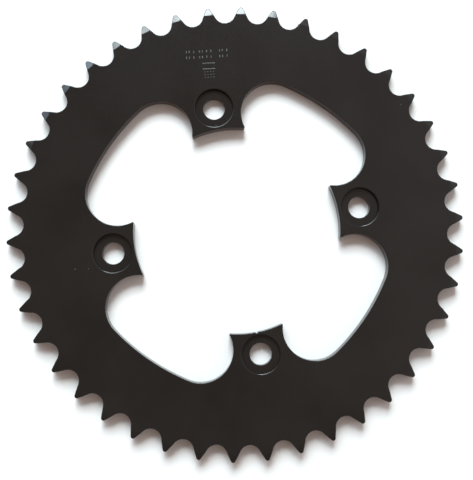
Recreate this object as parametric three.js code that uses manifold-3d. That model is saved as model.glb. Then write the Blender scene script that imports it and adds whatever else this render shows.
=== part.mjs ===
// Motorcycle rear sprocket: one flat steel plate with a ring of chain teeth, a four-lobed window
// and four bolt holes sunk into ears.
// Units are millimetres. The plate lies flat: the origin is on the hub axis at the inner face,
// the one that goes against the wheel hub, and +Z points out of the outer face.
// The bolt holes are centred on the X and Y axes.

import * as THREE from 'three';
import { mergeVertices } from 'three/addons/utils/BufferGeometryUtils.js';
import Module from 'manifold-3d';

// Chain that runs on the sprocket
const CHAIN_PITCH = 15.875;
const ROLLER_DIAMETER = 10.16;

// Toothed rim
const TOOTH_COUNT = 42;
const TOOTH_TURN = THREE.MathUtils.degToRad(1.1);        // a tooth's centre line, from +X
const OUTSIDE_RADIUS = 109.4;
const SEAT_RADIUS = 0.505 * ROLLER_DIAMETER;
const SEAT_HALF_ANGLE = THREE.MathUtils.degToRad(63);
const FLANK_RADIUS = 90;
const HALF_PITCH_ANGLE = Math.PI / TOOTH_COUNT;
const PITCH_RADIUS = CHAIN_PITCH / (2 * Math.sin(HALF_PITCH_ANGLE));

// Plate
const PLATE_THICKNESS = 5.8;
const TOOTH_BEVEL_START_RADIUS = 104.4;
const TOOTH_BEVEL_DEPTH = 1.2;                            // on each face, at the tooth tips

// Window: four arcs that fit round the wheel hub, and four lobes between the ears
const EAR_COUNT = 4;
const BORE_RADIUS = 49.4;
const LOBE_REACH = 73.9;                                  // middle of a lobe's outer edge, from the axis
const LOBE_CORNER_RADIUS = 15.3;
const LOBE_CORNER_DISTANCE = 59.5;                        // corner arc's centre, from the axis
const LOBE_CORNER_ANGLE = THREE.MathUtils.degToRad(17.5); // and from the lobe's middle line

// Bolt holes
const BOLT_CIRCLE_RADIUS = 60;
const BOLT_HOLE_RADIUS = 5.25;
const COUNTERBORE_RADIUS = 9.1;
const COUNTERBORE_DEPTH = 1.8;
const COUNTERBORE_CHAMFER = 0.6;

// Small notch in the middle of the bore arc of the ear on -Y
const NOTCH_RADIUS = 0.55;

// Straight steps that each round stretch is made of
const TIP_STEPS = 2;
const FLANK_STEPS = 2;
const SEAT_STEPS = 4;
const LOBE_EDGE_STEPS = 4;
const LOBE_CORNER_STEPS = 11;
const BORE_ARC_STEPS = 4;
const BOLT_HOLE_STEPS = 36;
const NOTCH_STEPS = 12;

const CUT_OVERRUN = 1;                                    // how far a cutting tool runs past a face

const EAR_STEP = 2 * Math.PI / EAR_COUNT;

const wasm = await Module();
wasm.setup();

function pointAt(radius, angle, centre = new THREE.Vector2()) {
  return new THREE.Vector2(centre.x + radius * Math.cos(angle), centre.y + radius * Math.sin(angle));
}

// Points along an arc. The end point is left to the next arc.
function arc(centre, radius, startAngle, endAngle, steps) {
  const points = [];
  for (let step = 0; step < steps; step += 1) {
    points.push(pointAt(radius, startAngle + (endAngle - startAngle) * step / steps, centre));
  }
  return points;
}

// Mirrors a half outline, which starts on +X and ends on the next line of symmetry, then repeats
// the whole of it round the axis.
function repeatRound(half, count, firstAngle) {
  const mirrored = half.slice(1, -1).reverse().map((point) => new THREE.Vector2(point.x, -point.y));
  const whole = [...mirrored, ...half];
  const outline = [];
  for (let copy = 0; copy < count; copy += 1) {
    const angle = firstAngle + copy * 2 * Math.PI / count;
    outline.push(...whole.map((point) => point.clone().rotateAround(new THREE.Vector2(), angle)));
  }
  return outline;
}

// Half a tooth, from its tip on +X to the bottom of the gap beside it. The roller seat is a hollow
// arc centred on the pitch circle, the flank is a full arc tangent to it, and the rounded tip is
// tangent to the flank and to the outside circle.
function halfTooth() {
  const seatCentre = pointAt(PITCH_RADIUS, HALF_PITCH_ANGLE);
  const seatEndAngle = HALF_PITCH_ANGLE + Math.PI + SEAT_HALF_ANGLE;
  const flankCentre = pointAt(SEAT_RADIUS + FLANK_RADIUS, seatEndAngle, seatCentre);
  const tipRadius = (FLANK_RADIUS ** 2 - flankCentre.lengthSq() + 2 * OUTSIDE_RADIUS * flankCentre.x
    - OUTSIDE_RADIUS ** 2) / (2 * (FLANK_RADIUS + flankCentre.x - OUTSIDE_RADIUS));
  const tipCentre = new THREE.Vector2(OUTSIDE_RADIUS - tipRadius, 0);
  const tipEndAngle = tipCentre.clone().sub(flankCentre).angle();
  return [
    ...arc(tipCentre, tipRadius, 0, tipEndAngle, TIP_STEPS),
    ...arc(flankCentre, FLANK_RADIUS, tipEndAngle, HALF_PITCH_ANGLE + SEAT_HALF_ANGLE, FLANK_STEPS),
    ...arc(seatCentre, SEAT_RADIUS, seatEndAngle, HALF_PITCH_ANGLE + Math.PI, SEAT_STEPS),
    pointAt(PITCH_RADIUS - SEAT_RADIUS, HALF_PITCH_ANGLE),
  ];
}

// Half a lobe of the window, from the middle of its outer edge on +X to the middle of the next
// ear's bore arc. The outer edge is a shallow arc tangent to the corner arc.
function halfLobe() {
  const cornerCentre = pointAt(LOBE_CORNER_DISTANCE, LOBE_CORNER_ANGLE);
  const cornerLimit = LOBE_REACH - LOBE_CORNER_RADIUS;
  const edgeSetBack = (LOBE_CORNER_DISTANCE ** 2 - cornerLimit ** 2) / (2 * (cornerLimit - cornerCentre.x));
  const edgeCentre = new THREE.Vector2(-edgeSetBack, 0);
  const edgeEndAngle = cornerCentre.clone().sub(edgeCentre).angle();
  const earTipAngle = LOBE_CORNER_ANGLE + Math.acos(
    (BORE_RADIUS ** 2 + LOBE_CORNER_DISTANCE ** 2 - LOBE_CORNER_RADIUS ** 2)
    / (2 * BORE_RADIUS * LOBE_CORNER_DISTANCE));
  const cornerEndAngle = pointAt(BORE_RADIUS, earTipAngle).sub(cornerCentre).angle();
  return [
    ...arc(edgeCentre, LOBE_REACH + edgeSetBack, 0, edgeEndAngle, LOBE_EDGE_STEPS),
    ...arc(cornerCentre, LOBE_CORNER_RADIUS, edgeEndAngle, cornerEndAngle, LOBE_CORNER_STEPS),
    ...arc(new THREE.Vector2(), BORE_RADIUS, earTipAngle, EAR_STEP / 2, BORE_ARC_STEPS),
    pointAt(BORE_RADIUS, EAR_STEP / 2),
  ];
}

function solidFrom(geometry) {
  geometry.deleteAttribute('normal');
  geometry.deleteAttribute('uv');
  const merged = mergeVertices(geometry);
  const mesh = new wasm.Mesh({
    numProp: 3,
    vertProperties: merged.attributes.position.array,
    triVerts: new Uint32Array(merged.index.array),
  });
  return new wasm.Manifold(mesh);
}

function geometryFrom(solid) {
  const mesh = solid.getMesh();
  const geometry = new THREE.BufferGeometry();
  geometry.setAttribute('position', new THREE.BufferAttribute(mesh.vertProperties, 3));
  geometry.setIndex(new THREE.BufferAttribute(mesh.triVerts, 1));
  geometry.computeVertexNormals();
  return geometry;
}

// Solid of revolution about Z. The profile's points are (radius, height), and it closes on the axis.
function turned(profile, steps, firstAngle = 0) {
  const points = profile.map(([radius, height]) => new THREE.Vector2(radius, height));
  const geometry = new THREE.LatheGeometry(points, steps);
  geometry.rotateX(Math.PI / 2);
  geometry.rotateZ(firstAngle);
  return geometry;
}

function blank() {
  const outline = new THREE.Shape(repeatRound(halfTooth(), TOOTH_COUNT, TOOTH_TURN));
  outline.holes.push(new THREE.Path(repeatRound(halfLobe(), EAR_COUNT, EAR_STEP / 2)));
  return new THREE.ExtrudeGeometry(outline, { depth: PLATE_THICKNESS, bevelEnabled: false });
}

// Body that holds what the turning of the tooth bevels leaves. It has one flat to each tooth and
// one to each gap, and its cones run on past both faces of the plate.
function bevelEnvelope() {
  const flats = 2 * TOOTH_COUNT;
  const apothemFactor = 1 / Math.cos(Math.PI / flats);
  const slope = (OUTSIDE_RADIUS - TOOTH_BEVEL_START_RADIUS) / TOOTH_BEVEL_DEPTH;
  const innerRadius = (TOOTH_BEVEL_START_RADIUS - CUT_OVERRUN * slope) * apothemFactor;
  const outerRadius = (OUTSIDE_RADIUS + CUT_OVERRUN * slope) * apothemFactor;
  const landLow = TOOTH_BEVEL_DEPTH + CUT_OVERRUN;
  const landHigh = PLATE_THICKNESS - landLow;
  return turned([
    [0, -CUT_OVERRUN],
    [innerRadius, -CUT_OVERRUN],
    [outerRadius, landLow],
    [outerRadius, landHigh],
    [innerRadius, PLATE_THICKNESS + CUT_OVERRUN],
    [0, PLATE_THICKNESS + CUT_OVERRUN],
  ], flats, TOOTH_TURN + HALF_PITCH_ANGLE / 2);
}

function boltHoleTool() {
  const seatHeight = PLATE_THICKNESS - COUNTERBORE_DEPTH;
  const chamferOuterRadius = COUNTERBORE_RADIUS + COUNTERBORE_CHAMFER + CUT_OVERRUN;
  return turned([
    [0, -CUT_OVERRUN],
    [BOLT_HOLE_RADIUS, -CUT_OVERRUN],
    [BOLT_HOLE_RADIUS, seatHeight],
    [COUNTERBORE_RADIUS, seatHeight],
    [COUNTERBORE_RADIUS, PLATE_THICKNESS - COUNTERBORE_CHAMFER],
    [chamferOuterRadius, PLATE_THICKNESS + CUT_OVERRUN],
    [0, PLATE_THICKNESS + CUT_OVERRUN],
  ], BOLT_HOLE_STEPS);
}

function notchTool() {
  const tool = turned([
    [0, -CUT_OVERRUN],
    [NOTCH_RADIUS, -CUT_OVERRUN],
    [NOTCH_RADIUS, PLATE_THICKNESS + CUT_OVERRUN],
    [0, PLATE_THICKNESS + CUT_OVERRUN],
  ], NOTCH_STEPS);
  return tool.translate(0, -BORE_RADIUS, 0);
}

function sprocketPlate() {
  let plate = solidFrom(blank()).intersect(solidFrom(bevelEnvelope()));
  for (let ear = 0; ear < EAR_COUNT; ear += 1) {
    const centre = pointAt(BOLT_CIRCLE_RADIUS, ear * EAR_STEP);
    plate = plate.subtract(solidFrom(boltHoleTool().translate(centre.x, centre.y, 0)));
  }
  return geometryFrom(plate.subtract(solidFrom(notchTool())));
}

const blackCoatedSteel = new THREE.MeshStandardMaterial({ color: 0x2b2927, roughness: 0.42, metalness: 0.2 });

const plate = new THREE.Mesh(sprocketPlate(), blackCoatedSteel);
plate.name = 'sprocket_plate';

const sprocket = new THREE.Group();
sprocket.add(plate);

export default sprocket;
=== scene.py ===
import math

import bmesh
import bpy
from mathutils import Matrix, Vector


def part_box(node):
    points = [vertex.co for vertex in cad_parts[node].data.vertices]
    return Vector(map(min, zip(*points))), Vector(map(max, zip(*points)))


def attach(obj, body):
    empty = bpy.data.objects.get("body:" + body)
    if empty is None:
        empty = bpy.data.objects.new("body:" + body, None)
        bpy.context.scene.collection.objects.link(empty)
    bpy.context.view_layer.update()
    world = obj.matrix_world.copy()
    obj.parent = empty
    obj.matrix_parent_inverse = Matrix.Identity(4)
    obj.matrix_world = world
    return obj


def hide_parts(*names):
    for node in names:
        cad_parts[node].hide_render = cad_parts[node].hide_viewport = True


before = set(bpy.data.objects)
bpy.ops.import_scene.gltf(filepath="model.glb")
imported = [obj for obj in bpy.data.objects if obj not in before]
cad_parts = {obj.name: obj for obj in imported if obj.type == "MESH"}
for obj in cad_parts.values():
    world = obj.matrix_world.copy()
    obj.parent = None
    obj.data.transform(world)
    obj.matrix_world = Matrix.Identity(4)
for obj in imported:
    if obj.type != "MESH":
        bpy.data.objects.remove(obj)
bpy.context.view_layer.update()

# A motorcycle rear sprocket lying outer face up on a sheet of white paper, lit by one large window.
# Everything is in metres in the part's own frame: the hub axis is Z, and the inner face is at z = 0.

MM = 0.001
NODE = "sprocket_plate"
BODY = "root"

# Chain and teeth
CHAIN_PITCH = 15.875 * MM
ROLLER_DIAMETER = 10.16 * MM
TOOTH_COUNT = 42
TOOTH_TURN = math.radians(1.1)              # a tooth's centre line, from +X
OUTSIDE_RADIUS = 109.4 * MM
SEAT_RADIUS = 0.505 * ROLLER_DIAMETER
SEAT_HALF_ANGLE = math.radians(63)
FLANK_RADIUS = 90 * MM
HALF_PITCH_ANGLE = math.pi / TOOTH_COUNT
PITCH_RADIUS = CHAIN_PITCH / (2 * math.sin(HALF_PITCH_ANGLE))
TOOTH_BEVEL_START_RADIUS = 104.4 * MM
TOOTH_BEVEL_DEPTH = 1.2 * MM

# Plate and window
FACE_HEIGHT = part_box(NODE)[1][2]
EAR_COUNT = 4
EAR_STEP = 2 * math.pi / EAR_COUNT
BORE_RADIUS = 49.4 * MM
LOBE_REACH = 73.9 * MM                      # middle of a lobe's outer edge, from the axis
LOBE_CORNER_RADIUS = 15.3 * MM
LOBE_CORNER_DISTANCE = 59.5 * MM
LOBE_CORNER_ANGLE = math.radians(17.5)      # from the lobe's middle line
NOTCH_RADIUS = 0.55 * MM
NOTCHED_EAR = 3

# Bolt holes
BOLT_CIRCLE_RADIUS = 60 * MM
BOLT_HOLE_RADIUS = 5.25 * MM
COUNTERBORE_RADIUS = 9.1 * MM
COUNTERBORE_DEPTH = 1.8 * MM

# Rounding of the edges
EDGE_ROUNDING = 0.3 * MM
EAR_TIP_ROUNDING = 0.77 * MM
COUNTERBORE_ROUNDING = 0.6 * MM
BOLT_HOLE_ROUNDING = 0.2 * MM
SHARP_EDGE_ANGLE = math.radians(40)

# The flat layout is joined from a ring of tooth sectors and four web sectors at this radius
RING_RADIUS = 97 * MM
RING_STEPS_PER_TOOTH = 4
RING_SEAM_ANGLE = TOOTH_TURN - HALF_PITCH_ANGLE / 2

# Stamped mark above the ear on +Y, struck in a patch of square cells: a row of upright strokes, each
# broken in two, over a block of short bars and scattered dots
MARKED_EAR = 1
MARK_CENTRE = Vector((2 * MM, 82.5 * MM, 0))
MARK_TILT = math.radians(-7)
MARK_HALF_WIDTH = 14 * MM
MARK_HALF_HEIGHT = 9.1 * MM
MARK_ROWS = 26
MARK_COLUMNS = 40
STROKE_COLUMNS = (4, 6, 9, 13, 15, 18, 21, 27, 29, 32)
STROKE_ROWS = (16, 17, 20, 21)
BAR_COLUMNS = range(15, 24)
BAR_ROWS = (8, 12)
DOT_COLUMNS = range(16, 24, 2)
DOT_ROWS = range(2, 7, 2)
MARK_DEPTH = 0.15 * MM
MARK_SLOPE_WIDTH = 0.12 * MM

# Steps in each arc
TIP_STEPS = 10
FLANK_STEPS = 4
SEAT_STEPS = 9
LOBE_EDGE_STEPS = 20
LOBE_CORNER_STEPS = 30
BORE_ARC_STEPS = 8
NOTCH_STEPS = 3
HOLE_STEPS = 72

WELD_DISTANCE = 0.01 * MM
CUT_DISTANCE = 0.001 * MM
FACES_UP = 0.99                             # least Z of a face's normal on the outer face
HUB = Vector((0, 0, 0))

# Coating and paper
COATING_BLACK = (0.0078, 0.0070, 0.0066)
COATING_GREY = (0.0108, 0.0100, 0.0094)
STRUCK_GREY = (0.10, 0.098, 0.096)
DUST_GREY = (0.11, 0.10, 0.095)
PAPER_WHITE = (0.80, 0.795, 0.785)
PAPER_SHADE = (0.775, 0.77, 0.765)
COATING_IOR = 1.45
PEEL_DEPTH = 0.006 * MM
DUST_SPACING = 6 * MM
DUST_SIZE = 0.045                           # of the spacing
DUST_SHARE = 0.12
SPECK_CORE = 0.6                            # of a speck's size, inside its soft edge
LATHE_LINE_SPACING = 0.35 * MM
LATHE_LINE_DEPTH = 0.002 * MM
BEVEL_CREASE_HALF_WIDTH = 0.1 * MM
STRUCK_GRAIN_DEPTH = 0.01 * MM
FIBRE_DEPTH = 0.02 * MM
PAPER_GAP = 0.05 * MM
PAPER_HALF_WIDTH = 3.0

# Window: upright panes side by side, each with its first and last direction, its radiance and its colour
WINDOW_DISTANCE = 1.5
WINDOW_LOWEST = math.radians(27)            # seen from the hub, above the paper
WINDOW_HIGHEST = math.radians(52)
WINDOW_PANES = (
    (68.5, 91.5, 26.0, (0.86, 0.97, 1.0)),
    (91.5, 108.5, 14.5, (0.84, 0.96, 1.0)),
    (108.5, 121.5, 7.2, (0.70, 0.86, 1.0)),
    (121.5, 139.5, 3.2, (0.68, 0.85, 1.0)),
)

# Room round the part: warm and dim, with one pale wall
ROOM_COLOUR = (1.0, 0.75, 0.64)
WALL_COLOUR = (0.92, 0.96, 1.0)
WALL_DIRECTION = math.radians(15)
ROOM_STRENGTH = 0.33
WALL_STRENGTH = 1.0

# Camera, looking down on the outer face
CAMERA_PLACE = Vector((-14.77 * MM, -24.86 * MM, 330.0 * MM))
CAMERA_TILT = (math.radians(3.927), math.radians(-1.683), math.radians(-10.78))
CAMERA_LENS = 51.22
CAMERA_FILM = 36.0


def polar(radius, angle, centre=HUB):
    return centre + Vector((radius * math.cos(angle), radius * math.sin(angle), 0))


def mirrored(point):
    return Vector((point.x, -point.y, point.z))


def direction_between(start, end):
    return math.atan2(end.y - start.y, end.x - start.x)


def turn_about_hub(mesh, angle, corners):
    bmesh.ops.rotate(mesh, cent=HUB, matrix=Matrix.Rotation(angle, 3, "Z"), verts=corners)


class OutlinePen:
    """Draws a flat outline in a mesh, by straight lines and by arcs that sweep its last point."""

    def __init__(self, mesh, start):
        self.mesh = mesh
        self.first = mesh.verts.new(start)
        self.last = self.first

    def line_to(self, point, steps=1):
        start = self.last.co.copy()
        for step in range(steps):
            self.last = bmesh.ops.extrude_vert_indiv(self.mesh, verts=[self.last])["verts"][0]
            self.last.co = start.lerp(point, (step + 1) / steps)

    def arc(self, centre, angle, steps):
        swept = bmesh.ops.spin(self.mesh, geom=[self.last], cent=centre, axis=(0, 0, 1), angle=angle,
                               steps=steps)
        self.last = next(item for item in swept["geom_last"] if isinstance(item, bmesh.types.BMVert))

    def close(self):
        """Joins the outline's end to its start, and fills it with one flat face."""
        bmesh.ops.weld_verts(self.mesh, targetmap={self.last: self.first})
        corner = self.first
        edges = [corner.link_edges[0]]
        while True:
            corner = edges[-1].other_vert(corner)
            if corner is self.first:
                break
            edges.append(next(edge for edge in corner.link_edges if edge is not edges[-1]))
        return bmesh.ops.contextual_create(self.mesh, geom=edges)["faces"][0]


def draw_tooth(mesh):
    """One tooth on +X and the web behind it, from the middle of one gap to the middle of the next."""
    seat_centre = polar(PITCH_RADIUS, HALF_PITCH_ANGLE)
    seat_end_angle = HALF_PITCH_ANGLE + math.pi + SEAT_HALF_ANGLE
    flank_centre = polar(SEAT_RADIUS + FLANK_RADIUS, seat_end_angle, seat_centre)
    tip_radius = (
        (FLANK_RADIUS ** 2 - flank_centre.length_squared + 2 * OUTSIDE_RADIUS * flank_centre.x
         - OUTSIDE_RADIUS ** 2)
        / (2 * (FLANK_RADIUS + flank_centre.x - OUTSIDE_RADIUS)))
    tip_centre = Vector((OUTSIDE_RADIUS - tip_radius, 0, 0))
    tip_half_turn = direction_between(flank_centre, tip_centre)
    flank_turn = HALF_PITCH_ANGLE + SEAT_HALF_ANGLE - tip_half_turn

    pen = OutlinePen(mesh, polar(RING_RADIUS, -HALF_PITCH_ANGLE))
    pen.line_to(polar(PITCH_RADIUS - SEAT_RADIUS, -HALF_PITCH_ANGLE))
    pen.arc(mirrored(seat_centre), -SEAT_HALF_ANGLE, SEAT_STEPS)
    pen.arc(mirrored(flank_centre), flank_turn, FLANK_STEPS)
    pen.arc(tip_centre, 2 * tip_half_turn, 2 * TIP_STEPS)
    pen.arc(flank_centre, flank_turn, FLANK_STEPS)
    pen.arc(seat_centre, -SEAT_HALF_ANGLE, SEAT_STEPS)
    pen.line_to(polar(RING_RADIUS, HALF_PITCH_ANGLE))
    pen.arc(HUB, -2 * HALF_PITCH_ANGLE, RING_STEPS_PER_TOOTH)
    return pen.close()


def cut_tooth_bevel(mesh, face_height, outward):
    """Slices the tooth along its bevel at one face of the plate, and closes the slice."""
    everything = mesh.verts[:] + mesh.edges[:] + mesh.faces[:]
    slope_run = OUTSIDE_RADIUS - TOOTH_BEVEL_START_RADIUS
    cut = bmesh.ops.bisect_plane(
        mesh, geom=everything, dist=CUT_DISTANCE, clear_outer=True,
        plane_co=(TOOTH_BEVEL_START_RADIUS, 0, face_height),
        plane_no=(TOOTH_BEVEL_DEPTH, 0, outward * slope_run))["geom_cut"]
    edges = [item for item in cut if isinstance(item, bmesh.types.BMEdge)]
    bmesh.ops.contextual_create(mesh, geom=edges)
    crease = min(edges, key=lambda edge: max(corner.co.x for corner in edge.verts))
    crease.smooth = False


def is_inside_metal(face):
    """True for the faces where a tooth sector meets the next one or the web."""
    on_ring = all(corner.co.xy.length < RING_RADIUS + WELD_DISTANCE for corner in face.verts)
    nearest = min(abs(math.atan2(corner.co.y, corner.co.x)) for corner in face.verts)
    return on_ring or nearest > HALF_PITCH_ANGLE - WELD_DISTANCE / RING_RADIUS


def add_toothed_ring(mesh):
    raised = bmesh.ops.extrude_face_region(mesh, geom=[draw_tooth(mesh)])["geom"]
    bmesh.ops.translate(mesh, vec=(0, 0, FACE_HEIGHT),
                        verts=[item for item in raised if isinstance(item, bmesh.types.BMVert)])
    cut_tooth_bevel(mesh, FACE_HEIGHT, 1)
    cut_tooth_bevel(mesh, 0, -1)
    bmesh.ops.delete(mesh, geom=[face for face in mesh.faces if is_inside_metal(face)], context="FACES")
    turn_about_hub(mesh, TOOTH_TURN, mesh.verts[:])
    tooth = mesh.verts[:] + mesh.edges[:] + mesh.faces[:]
    bmesh.ops.spin(mesh, geom=tooth, cent=HUB, axis=(0, 0, 1), use_duplicate=True,
                   angle=2 * math.pi - 2 * HALF_PITCH_ANGLE, steps=TOOTH_COUNT - 1)


def mark_place():
    return Matrix.Translation(MARK_CENTRE) @ Matrix.Rotation(MARK_TILT, 4, "Z")


def go_round_mark(pen, near_ear, side):
    """Leads the pen round half of the mark's patch, outwards on the side -1 and inwards on the side 1."""
    place = Matrix.Rotation(-near_ear * EAR_STEP, 4, "Z") @ mark_place()
    for across, along, steps in ((0, side, 1), (side, side, MARK_COLUMNS // 2),
                                 (side, -side, MARK_ROWS), (0, -side, MARK_COLUMNS // 2)):
        pen.line_to(place @ Vector((across * MARK_HALF_WIDTH, along * MARK_HALF_HEIGHT, 0)), steps)


def draw_web_sector(mesh, hole_radius, near_ear, with_mark):
    """A quarter of the web, drawn from the ear on +X to the one on +Y, between the ring and the window."""
    far_ear = (near_ear + 1) % EAR_COUNT
    near_corner = polar(LOBE_CORNER_DISTANCE, EAR_STEP / 2 - LOBE_CORNER_ANGLE)
    far_corner = polar(LOBE_CORNER_DISTANCE, EAR_STEP / 2 + LOBE_CORNER_ANGLE)
    corner_limit = LOBE_REACH - LOBE_CORNER_RADIUS
    corner_reach = LOBE_CORNER_DISTANCE * math.cos(LOBE_CORNER_ANGLE)
    edge_set_back = (LOBE_CORNER_DISTANCE ** 2 - corner_limit ** 2) / (2 * (corner_limit - corner_reach))
    edge_centre = polar(-edge_set_back, EAR_STEP / 2)
    ear_half_angle = EAR_STEP / 2 - LOBE_CORNER_ANGLE - math.acos(
        (BORE_RADIUS ** 2 + LOBE_CORNER_DISTANCE ** 2 - LOBE_CORNER_RADIUS ** 2)
        / (2 * BORE_RADIUS * LOBE_CORNER_DISTANCE))
    corner_turn = (direction_between(edge_centre, near_corner)
                   - direction_between(near_corner, polar(BORE_RADIUS, ear_half_angle)))
    edge_turn = direction_between(edge_centre, far_corner) - direction_between(edge_centre, near_corner)
    notch_half_angle = math.asin(NOTCH_RADIUS / BORE_RADIUS)
    notch_distance = BORE_RADIUS * math.cos(notch_half_angle)

    pen = OutlinePen(mesh, polar(RING_RADIUS, RING_SEAM_ANGLE))
    pen.arc(HUB, EAR_STEP, RING_STEPS_PER_TOOTH * TOOTH_COUNT // EAR_COUNT)
    if with_mark and far_ear == MARKED_EAR:
        go_round_mark(pen, near_ear, 1)
    pen.line_to(polar(BOLT_CIRCLE_RADIUS + hole_radius, EAR_STEP))
    pen.arc(polar(BOLT_CIRCLE_RADIUS, EAR_STEP), -math.pi, HOLE_STEPS // 2)
    if far_ear == NOTCHED_EAR:
        pen.line_to(polar(notch_distance + NOTCH_RADIUS, EAR_STEP))
        pen.arc(polar(notch_distance, EAR_STEP), -math.pi / 2, NOTCH_STEPS)
        pen.arc(HUB, notch_half_angle - ear_half_angle, BORE_ARC_STEPS)
    else:
        pen.line_to(polar(BORE_RADIUS, EAR_STEP))
        pen.arc(HUB, -ear_half_angle, BORE_ARC_STEPS)
    pen.arc(far_corner, -corner_turn, LOBE_CORNER_STEPS)
    pen.arc(edge_centre, -edge_turn, LOBE_EDGE_STEPS)
    pen.arc(near_corner, -corner_turn, LOBE_CORNER_STEPS)
    if near_ear == NOTCHED_EAR:
        pen.arc(HUB, notch_half_angle - ear_half_angle, BORE_ARC_STEPS)
        pen.arc(polar(notch_distance, 0), -math.pi / 2, NOTCH_STEPS)
    else:
        pen.arc(HUB, -ear_half_angle, BORE_ARC_STEPS)
    pen.line_to(polar(BOLT_CIRCLE_RADIUS - hole_radius, 0))
    pen.arc(polar(BOLT_CIRCLE_RADIUS, 0), -math.pi, HOLE_STEPS // 2)
    if with_mark and near_ear == MARKED_EAR:
        go_round_mark(pen, near_ear, -1)
    pen.line_to(polar(RING_RADIUS, RING_SEAM_ANGLE))
    return pen.close()


def add_web_face(mesh, height, hole_radius, with_mark):
    for ear in range(EAR_COUNT):
        corners = list(draw_web_sector(mesh, hole_radius, ear, with_mark).verts)
        turn_about_hub(mesh, ear * EAR_STEP, corners)
        bmesh.ops.translate(mesh, vec=(0, 0, height), verts=corners)


def add_bolt_hole_wall(mesh, ear):
    """Turns the wall of a bolt hole and its counterbore round the bolt's axis."""
    seat_height = FACE_HEIGHT - COUNTERBORE_DEPTH
    profile = [(BOLT_HOLE_RADIUS, 0), (BOLT_HOLE_RADIUS, seat_height),
               (COUNTERBORE_RADIUS, seat_height), (COUNTERBORE_RADIUS, FACE_HEIGHT)]
    points = [mesh.verts.new(polar(BOLT_CIRCLE_RADIUS + radius, ear * EAR_STEP, Vector((0, 0, height))))
              for radius, height in profile]
    lines = [mesh.edges.new(pair) for pair in zip(points, points[1:])]
    bmesh.ops.spin(mesh, geom=points + lines, cent=polar(BOLT_CIRCLE_RADIUS, ear * EAR_STEP), axis=(0, 0, 1),
                   angle=2 * math.pi, steps=HOLE_STEPS, use_merge=True)


def add_window_wall(mesh):
    """Joins the window's edges on the two faces, the only ones that are still open."""
    bmesh.ops.bridge_loops(mesh, edges=[edge for edge in mesh.edges if edge.is_boundary])


def add_mark_patch(mesh):
    size = Matrix.Diagonal((MARK_HALF_WIDTH, MARK_HALF_HEIGHT, 1, 1))
    lift = Matrix.Translation((0, 0, FACE_HEIGHT))
    bmesh.ops.create_grid(mesh, x_segments=MARK_COLUMNS, y_segments=MARK_ROWS, size=1,
                          matrix=lift @ mark_place() @ size)


def mark_cell(face):
    """Column and row, counted from the patch's inner left corner, of the cell that a face lies in."""
    middle = mark_place().inverted() @ face.calc_center_median()
    return (math.floor((middle.x / MARK_HALF_WIDTH + 1) / 2 * MARK_COLUMNS),
            math.floor((middle.y / MARK_HALF_HEIGHT + 1) / 2 * MARK_ROWS))


def strike_mark(mesh):
    """Sinks the cells of the strokes, bars and dots below the outer face."""
    cells = {(column, row) for column in STROKE_COLUMNS for row in STROKE_ROWS}
    cells |= {(column, row) for column in BAR_COLUMNS for row in BAR_ROWS}
    cells |= {(column, row) for column in DOT_COLUMNS for row in DOT_ROWS}
    struck = [face for face in mesh.faces
              if face.normal.z > FACES_UP and len(face.verts) == 4 and mark_cell(face) in cells]
    bmesh.ops.inset_region(mesh, faces=struck, thickness=MARK_SLOPE_WIDTH, depth=-MARK_DEPTH,
                           use_boundary=True, use_even_offset=True)
    for face in struck:
        face.material_index = 1


def middle_of(edge):
    return (edge.verts[0].co + edge.verts[1].co) / 2


def is_upright(edge):
    rise = abs(edge.verts[0].co.z - edge.verts[1].co.z)
    return rise > edge.calc_length() / 2


def bolt_distance(edge):
    """How far an edge's middle lies from the nearest bolt's axis."""
    middle = middle_of(edge).xy
    return min((middle - polar(BOLT_CIRCLE_RADIUS, ear * EAR_STEP).xy).length for ear in range(EAR_COUNT))


def round_edges(mesh, edges, width, segments):
    bmesh.ops.bevel(mesh, geom=edges, offset=width, offset_type="OFFSET", segments=segments, profile=0.5,
                    affect="EDGES", material=-1, clamp_overlap=False)


def sharp_edges(mesh):
    return [edge for edge in mesh.edges
            if len(edge.link_faces) == 2 and edge.calc_face_angle() > SHARP_EDGE_ANGLE]


def round_ear_tips(mesh):
    ear_tips = [edge for edge in sharp_edges(mesh)
                if is_upright(edge) and abs(middle_of(edge).xy.length - BORE_RADIUS) < WELD_DISTANCE
                and bolt_distance(edge) > BOLT_CIRCLE_RADIUS - BORE_RADIUS + MM]
    round_edges(mesh, ear_tips, EAR_TIP_ROUNDING, 4)


def round_bolt_holes(mesh):
    edges = [edge for edge in sharp_edges(mesh) if bolt_distance(edge) < COUNTERBORE_RADIUS + WELD_DISTANCE]
    rims = [edge for edge in edges if middle_of(edge).z > FACE_HEIGHT - WELD_DISTANCE]
    throats = [edge for edge in edges if bolt_distance(edge) < BOLT_HOLE_RADIUS + WELD_DISTANCE]
    round_edges(mesh, rims, COUNTERBORE_ROUNDING, 4)
    round_edges(mesh, throats, BOLT_HOLE_ROUNDING, 2)


def round_outlines(mesh):
    outer_limit = COUNTERBORE_RADIUS + COUNTERBORE_ROUNDING + WELD_DISTANCE
    outlines = [edge for edge in sharp_edges(mesh)
                if not is_upright(edge) and bolt_distance(edge) > outer_limit]
    round_edges(mesh, outlines, EDGE_ROUNDING, 3)


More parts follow.
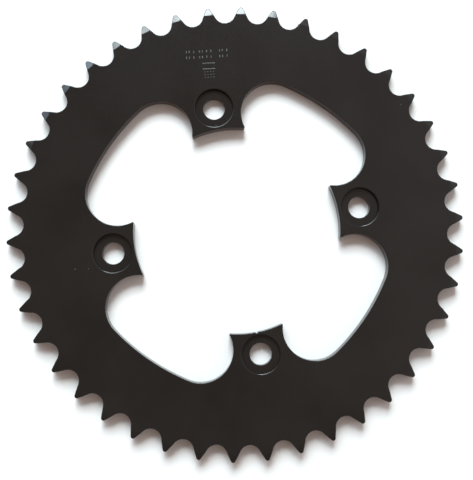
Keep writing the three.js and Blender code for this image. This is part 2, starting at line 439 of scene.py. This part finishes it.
def make_sprocket():
    mesh = bmesh.new()
    add_toothed_ring(mesh)
    add_web_face(mesh, 0, BOLT_HOLE_RADIUS, False)
    add_web_face(mesh, FACE_HEIGHT, COUNTERBORE_RADIUS, True)
    for ear in range(EAR_COUNT):
        add_bolt_hole_wall(mesh, ear)
    add_mark_patch(mesh)
    bmesh.ops.remove_doubles(mesh, verts=mesh.verts, dist=WELD_DISTANCE)
    add_window_wall(mesh)
    bmesh.ops.recalc_face_normals(mesh, faces=mesh.faces)
    round_ear_tips(mesh)
    round_bolt_holes(mesh)
    round_outlines(mesh)
    strike_mark(mesh)
    for face in mesh.faces:
        face.smooth = True
    for edge in sharp_edges(mesh):
        edge.smooth = False
    data = bpy.data.meshes.new("Sprocket")
    mesh.to_mesh(data)
    mesh.free()
    sprocket = bpy.data.objects.new("Sprocket", data)
    bpy.context.scene.collection.objects.link(sprocket)
    smoothing = sprocket.modifiers.new("Face_weighted_shading", "WEIGHTED_NORMAL")
    smoothing.keep_sharp = True
    return sprocket


class FinishNodes:
    """Adds nodes to a finish: patterns on the piece's own coordinates, and what is made of them."""

    def __init__(self, name):
        self.material = bpy.data.materials.new(name)
        self.material.use_nodes = True
        self.tree = self.material.node_tree
        self.surface = next(node for node in self.tree.nodes if node.type == "BSDF_PRINCIPLED")
        self.place = self.tree.nodes.new("ShaderNodeTexCoord").outputs["Object"]

    def add(self, kind, **inputs):
        """Adds a node, setting or linking each of the inputs given by name."""
        node = self.tree.nodes.new(kind)
        for name, value in inputs.items():
            self.give(node.inputs[name.replace("_", " ")], value)
        return node

    def give(self, socket, value):
        if isinstance(value, bpy.types.NodeSocket):
            self.tree.links.new(value, socket)
        else:
            socket.default_value = value

    def noise(self, scale, detail=2, roughness=0.5, place=None):
        return self.add("ShaderNodeTexNoise", Vector=place or self.place, Scale=scale, Detail=detail,
                        Roughness=roughness).outputs["Fac"]

    def stretched(self, stretch, turn):
        return self.add("ShaderNodeMapping", Vector=self.place, Scale=stretch,
                        Rotation=(0, 0, turn)).outputs["Vector"]

    def ranged(self, source, low, high, first, last):
        """Maps the stretch of a pattern from low to high onto another range, held at its ends."""
        return self.add("ShaderNodeMapRange", Value=source, From_Min=low, From_Max=high, To_Min=first,
                        To_Max=last).outputs["Result"]

    def maths(self, operation, first, second):
        node = self.tree.nodes.new("ShaderNodeMath")
        node.operation = operation
        self.give(node.inputs[0], first)
        self.give(node.inputs[1], second)
        return node.outputs["Value"]

    def blend(self, amount, first, second):
        """Blends two colours, each given as three numbers or as another node's output."""
        node = self.tree.nodes.new("ShaderNodeMix")
        node.data_type = "RGBA"
        self.give(node.inputs["Factor"], amount)
        for name, colour in (("A", first), ("B", second)):
            is_output = isinstance(colour, bpy.types.NodeSocket)
            self.give(node.inputs[name], colour if is_output else (*colour, 1))
        return node.outputs["Result"]

    def radius(self):
        """Distance from the hub axis."""
        flat = self.tree.nodes.new("ShaderNodeVectorMath")
        flat.operation = "MULTIPLY"
        self.give(flat.inputs[0], self.place)
        self.give(flat.inputs[1], (1, 1, 0))
        length = self.tree.nodes.new("ShaderNodeVectorMath")
        length.operation = "LENGTH"
        self.give(length.inputs[0], flat.outputs["Vector"])
        return length.outputs["Value"]

    def bump(self, height, distance, strength, under=None):
        node = self.add("ShaderNodeBump", Height=height, Distance=distance, Strength=strength)
        if under:
            self.give(node.inputs["Normal"], under)
        return node.outputs["Normal"]


def specks(nodes, spacing, size, share):
    """Scattered round specks, 1 inside and 0 outside: few of the cells, as share says, hold one."""
    cells = nodes.add("ShaderNodeTexVoronoi", Vector=nodes.place, Scale=1 / spacing)
    spot = nodes.ranged(cells.outputs["Distance"], size * SPECK_CORE, size, 1, 0)
    chosen = nodes.maths("GREATER_THAN", nodes.add(
        "ShaderNodeSeparateColor", Color=cells.outputs["Color"]).outputs["Red"], 1 - share)
    return nodes.maths("MULTIPLY", spot, chosen)


def make_black_coating():
    """Satin black coat: faint clouding, fine orange peel, dust, hair scuffs, lathe lines on the bevel."""
    nodes = FinishNodes("Satin_black_coating")
    clouds = nodes.ranged(nodes.noise(35, detail=3), 0.35, 0.65, 0, 1)
    dust = specks(nodes, DUST_SPACING, DUST_SIZE, DUST_SHARE)
    scuff_field = nodes.noise(260, detail=2, place=nodes.stretched((1, 0.06, 1), math.radians(35)))
    scuffs = nodes.ranged(scuff_field, 0.70, 0.78, 0, 0.35)
    coat_colour = nodes.blend(clouds, COATING_BLACK, COATING_GREY)
    scuffed = nodes.blend(scuffs, coat_colour, COATING_GREY)
    nodes.give(nodes.surface.inputs["Base Color"], nodes.blend(dust, scuffed, DUST_GREY))

    on_bevel = nodes.ranged(nodes.radius(), TOOTH_BEVEL_START_RADIUS - BEVEL_CREASE_HALF_WIDTH,
                            TOOTH_BEVEL_START_RADIUS + BEVEL_CREASE_HALF_WIDTH, 0, 1)
    mottle = nodes.ranged(nodes.noise(900, detail=4, roughness=0.6), 0.3, 0.7, 0.13, 0.20)
    smoother = nodes.maths("MULTIPLY", on_bevel, -0.02)
    rougher = nodes.maths("MULTIPLY", dust, 0.3)
    roughness = nodes.maths("ADD", nodes.maths("ADD", mottle, smoother), rougher)
    nodes.give(nodes.surface.inputs["Roughness"], roughness)

    peel = nodes.bump(nodes.noise(1400, detail=3, roughness=0.6), PEEL_DEPTH, 0.5)
    lathe_turn = nodes.maths("MULTIPLY", nodes.radius(), 2 * math.pi / LATHE_LINE_SPACING)
    turns = nodes.maths("SINE", lathe_turn, 0)
    lathe_lines = nodes.maths("MULTIPLY", turns, on_bevel)
    nodes.give(nodes.surface.inputs["Normal"], nodes.bump(lathe_lines, LATHE_LINE_DEPTH, 0.3, under=peel))
    nodes.surface.inputs["IOR"].default_value = COATING_IOR
    return nodes.material


def make_struck_coating():
    """Floor of the struck mark, where the coat is thin and grey metal shows."""
    nodes = FinishNodes("Struck_coating")
    wear = nodes.ranged(nodes.noise(1500, detail=3), 0.35, 0.65, 0, 1)
    nodes.give(nodes.surface.inputs["Base Color"], nodes.blend(wear, STRUCK_GREY, COATING_GREY))
    nodes.give(nodes.surface.inputs["Roughness"], nodes.ranged(wear, 0, 1, 0.35, 0.5))
    nodes.give(nodes.surface.inputs["Normal"], nodes.bump(nodes.noise(3000), STRUCK_GRAIN_DEPTH, 0.5))
    return nodes.material


def make_paper():
    nodes = FinishNodes("White_paper")
    shade = nodes.ranged(nodes.noise(6, detail=3), 0.3, 0.7, 0, 1)
    nodes.give(nodes.surface.inputs["Base Color"], nodes.blend(shade, PAPER_WHITE, PAPER_SHADE))
    fibres = nodes.noise(1800, detail=3)
    nodes.give(nodes.surface.inputs["Roughness"], nodes.ranged(fibres, 0.3, 0.7, 0.75, 0.9))
    nodes.give(nodes.surface.inputs["Normal"], nodes.bump(fibres, FIBRE_DEPTH, 0.3))
    return nodes.material


def lay_paper():
    mesh = bmesh.new()
    bmesh.ops.create_grid(mesh, x_segments=1, y_segments=1, size=PAPER_HALF_WIDTH,
                          matrix=Matrix.Translation((0, 0, -PAPER_GAP)))
    data = bpy.data.meshes.new("Paper")
    mesh.to_mesh(data)
    mesh.free()
    data.materials.append(make_paper())
    paper = bpy.data.objects.new("Paper", data)
    bpy.context.scene.collection.objects.link(paper)


def hang_window_pane(name, first, last, radiance, colour):
    """A vertical rectangle of light that faces the hub, at the window's distance."""
    direction = math.radians((first + last) / 2)
    bottom = WINDOW_DISTANCE * math.tan(WINDOW_LOWEST)
    top = WINDOW_DISTANCE * math.tan(WINDOW_HIGHEST)
    light = bpy.data.lights.new(name, "AREA")
    light.shape = "RECTANGLE"
    light.size = 2 * WINDOW_DISTANCE * math.tan(math.radians((last - first) / 2))
    light.size_y = top - bottom
    light.energy = math.pi * radiance * light.size * light.size_y
    light.color = colour
    pane = bpy.data.objects.new(name, light)
    pane.location = polar(WINDOW_DISTANCE, direction, Vector((0, 0, (top + bottom) / 2)))
    pane.rotation_euler = (math.radians(-90), 0, direction - math.radians(90))
    pane.visible_camera = False
    bpy.context.scene.collection.objects.link(pane)


def light_room():
    world = bpy.data.worlds.new("Room")
    world.use_nodes = True
    nodes = world.node_tree.nodes
    links = world.node_tree.links
    background = next(node for node in nodes if node.type == "BACKGROUND")
    towards_wall = nodes.new("ShaderNodeVectorMath")
    towards_wall.operation = "DOT_PRODUCT"
    towards_wall.inputs[1].default_value = polar(1, WALL_DIRECTION)
    links.new(nodes.new("ShaderNodeTexCoord").outputs["Generated"], towards_wall.inputs[0])
    strength = nodes.new("ShaderNodeMapRange")
    strength.inputs["To Min"].default_value = ROOM_STRENGTH
    strength.inputs["To Max"].default_value = WALL_STRENGTH
    links.new(towards_wall.outputs["Value"], strength.inputs["Value"])
    links.new(strength.outputs["Result"], background.inputs["Strength"])
    colour = nodes.new("ShaderNodeMix")
    colour.data_type = "RGBA"
    colour.inputs["A"].default_value = (*ROOM_COLOUR, 1)
    colour.inputs["B"].default_value = (*WALL_COLOUR, 1)
    links.new(towards_wall.outputs["Value"], colour.inputs["Factor"])
    links.new(colour.outputs["Result"], background.inputs["Color"])
    bpy.context.scene.world = world
    bpy.context.scene.view_settings.view_transform = "Standard"


def place_camera():
    lens = bpy.data.cameras.new("Camera")
    lens.lens = CAMERA_LENS
    lens.sensor_width = CAMERA_FILM
    lens.clip_start = 0.01
    camera = bpy.data.objects.new("Camera", lens)
    camera.location = CAMERA_PLACE
    camera.rotation_euler = CAMERA_TILT
    bpy.context.scene.collection.objects.link(camera)
    bpy.context.scene.camera = camera


sprocket = make_sprocket()
sprocket.data.materials.append(make_black_coating())
sprocket.data.materials.append(make_struck_coating())
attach(sprocket, BODY)
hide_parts(NODE)
lay_paper()
for number, pane in enumerate(WINDOW_PANES):
    hang_window_pane(f"Window_pane_{number + 1}", *pane)
light_room()
place_camera()
